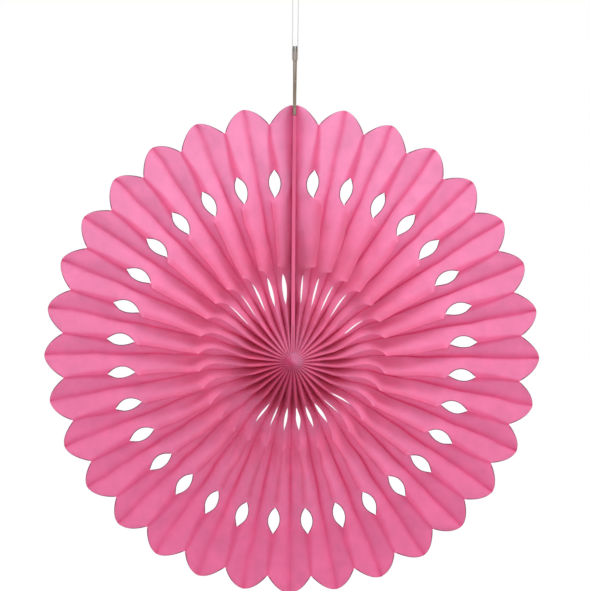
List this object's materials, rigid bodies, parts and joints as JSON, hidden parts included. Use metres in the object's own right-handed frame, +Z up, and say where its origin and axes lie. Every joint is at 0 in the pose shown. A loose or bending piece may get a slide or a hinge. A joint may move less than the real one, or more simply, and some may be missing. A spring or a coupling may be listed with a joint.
{
  "type": "honeycomb paper fan decoration",
  "caption": "Hanging round tissue paper fan with pleated scalloped petals, eye-shaped cut holes, card covers that form a tab, and a thread loop.",
  "frame": {"origin": "inside top of the thread loop, where a hook holds it", "axes": "+Z up along the hanging thread, -Y the way the front of the fan faces, +X to the right of someone who looks at the front"},
  "size_m": [0.406, 0.0601, 0.5088],
  "materials": {
    "pink_tissue": "matt dyed tissue paper",
    "greyboard": "matt unprinted greyboard",
    "white_thread": "twisted cotton thread"
  },
  "bodies": {
    "root": {"tissue_fan": "pink_tissue", "card_cover_left": "greyboard", "card_cover_right": "greyboard", "hanging_thread": "white_thread", "thread_knot": "white_thread"}
  },
  "joints": []
}
